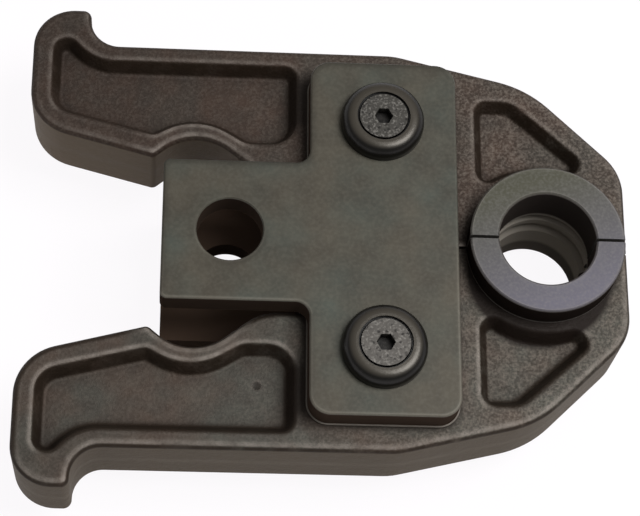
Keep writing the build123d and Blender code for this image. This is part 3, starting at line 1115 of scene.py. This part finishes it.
def smooth_object(name, points, faces, material):
    """Smooth-shaded mesh object in the scene."""
    mesh = bpy.data.meshes.new(name)
    mesh.from_pydata(points, [], faces)
    mesh.polygons.foreach_set("use_smooth", [True] * len(faces))
    mesh.validate()
    mesh.materials.append(material)
    made = bpy.data.objects.new(name, mesh)
    bpy.context.scene.collection.objects.link(made)
    return made


# Closing springs, each in two halves

def spring_rise(turn, length):
    """Distance from the middle of the spring after so many turns: even turns, then a closed end."""
    closed = SPRING_CLOSED_TURNS * SPRING_WIRE
    open_turns = SPRING_TURNS - SPRING_CLOSED_TURNS
    if turn < open_turns:
        return (length - closed) * turn / open_turns
    return length - closed + (turn - open_turns) * SPRING_WIRE


def half_spring(node, side):
    """Wire of half a closing spring, wound outwards from the middle of its CAD node."""
    low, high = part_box(node)
    centre = (low + high) / 2
    coil = (high.x - low.x - SPRING_WIRE) / 2
    length = high.y - SPRING_WIRE / 2
    steps = SPRING_TURNS * STEPS_PER_TURN
    sign = 1 if side == "left" else -1
    along = Vector((0, sign, 0))
    points = []
    for i in range(steps + 1):
        turn = SPRING_TURNS * i / steps
        angle = sign * 2 * pi * turn
        outward = Vector((cos(angle), 0, sin(angle)))
        middle = Vector((centre.x, sign * spring_rise(turn, length), centre.z)) + coil * outward
        for k in range(WIRE_SIDES):
            a = 2 * pi * k / WIRE_SIDES
            points.append(middle + SPRING_WIRE / 2 * (cos(a) * outward + sin(a) * along))
    faces = ring_faces(steps + 1, WIRE_SIDES)
    faces.append(tuple(range(WIRE_SIDES)))
    faces.append(tuple(range(steps * WIRE_SIDES, (steps + 1) * WIRE_SIDES)))
    piece = smooth_object(f"{node}_{side}_half", points, faces, FINISHES["spring_steel"])
    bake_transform(piece)
    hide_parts(node)


# Studio

def studio_paper():
    """Matt white paper that looks white to the camera and in reflections, and still takes a soft shadow."""
    paper = new_material("white_studio_paper")
    path = add(paper, "LightPath", {}).outputs
    mirrored = add(paper, "Math", {
        0: path["Is Camera Ray"],
        1: path["Is Glossy Ray"],
    }, operation="MAXIMUM").outputs["Value"]
    seen = add(paper, "Math", {
        0: mirrored,
        1: path["Is Transmission Ray"],
    }, operation="MAXIMUM").outputs["Value"]
    share = add(paper, "Math", {0: seen, 1: PAPER_SHARE}, operation="MULTIPLY").outputs["Value"]
    matt = add(paper, "BsdfDiffuse", {"Color": linear("#f4f3f3")}).outputs["BSDF"]
    white = add(paper, "Emission", {
        "Color": linear("#fffdff"),
        "Strength": PAPER_GLOW,
    }).outputs["Emission"]
    both = add(paper, "MixShader", {0: share, 1: matt, 2: white}).outputs["Shader"]
    add(paper, "OutputMaterial", {"Surface": both})
    return paper


def white_sweep():
    """Round pale floor that curves up into a low wall."""
    floor_z = cad_box[0].z
    flat = SWEEP_RADIUS - SWEEP_COVE
    profile = [(SWEEP_RADIUS, SWEEP_HEIGHT)]
    for i in range(COVE_STEPS, -1, -1):
        a = pi / 2 * i / COVE_STEPS
        profile.append((flat + SWEEP_COVE * sin(a), SWEEP_COVE * (1 - cos(a))))
    profile.append((0.0, 0.0))
    points = []
    for radius, height in profile:
        for k in range(SWEEP_SIDES):
            a = 2 * pi * k / SWEEP_SIDES
            points.append((radius * cos(a), radius * sin(a), floor_z + height))
    faces = ring_faces(len(profile), SWEEP_SIDES)
    smooth_object("white_sweep", points, faces, studio_paper())


def softbox():
    """One large soft light, high up and out beyond the press mouth."""
    lamp = bpy.data.lights.new("softbox", "AREA")
    lamp.shape = "SQUARE"
    lamp.size = SOFTBOX_SIZE
    lamp.energy = SOFTBOX_WATTS
    holder = bpy.data.objects.new("softbox", lamp)
    holder.location = SOFTBOX_PLACE
    toward = Vector(SOFTBOX_AIM) - holder.location
    holder.rotation_euler = toward.to_track_quat("-Z", "Y").to_euler()
    bpy.context.scene.collection.objects.link(holder)


def dim_room():
    """A faint even light from all round."""
    world = bpy.data.worlds.new("dim_room")
    world.use_nodes = True
    background = world.node_tree.nodes["Background"]
    background.inputs["Color"].default_value = linear("#ffffff")
    background.inputs["Strength"].default_value = FILL_LEVEL
    bpy.context.scene.world = world


def photo_camera():
    """Camera at the photograph's viewing angle."""
    lens = bpy.data.cameras.new("photo_camera")
    lens.sensor_fit = "HORIZONTAL"
    lens.sensor_width = SENSOR_WIDTH
    lens.lens = CAMERA_LENS
    lens.clip_start = NEAREST
    lens.clip_end = FARTHEST
    camera = bpy.data.objects.new("photo_camera", lens)
    camera.location = CAMERA_PLACE
    camera.rotation_euler = [radians(angle) for angle in CAMERA_TURN]
    bpy.context.scene.collection.objects.link(camera)
    bpy.context.scene.camera = camera


paint_nodes()
for spring_node in ("top_closing_spring", "bottom_closing_spring"):
    for jaw_side in ("left", "right"):
        half_spring(spring_node, jaw_side)
white_sweep()
softbox()
dim_room()
photo_camera()
bpy.context.scene.view_settings.view_transform = "Standard"
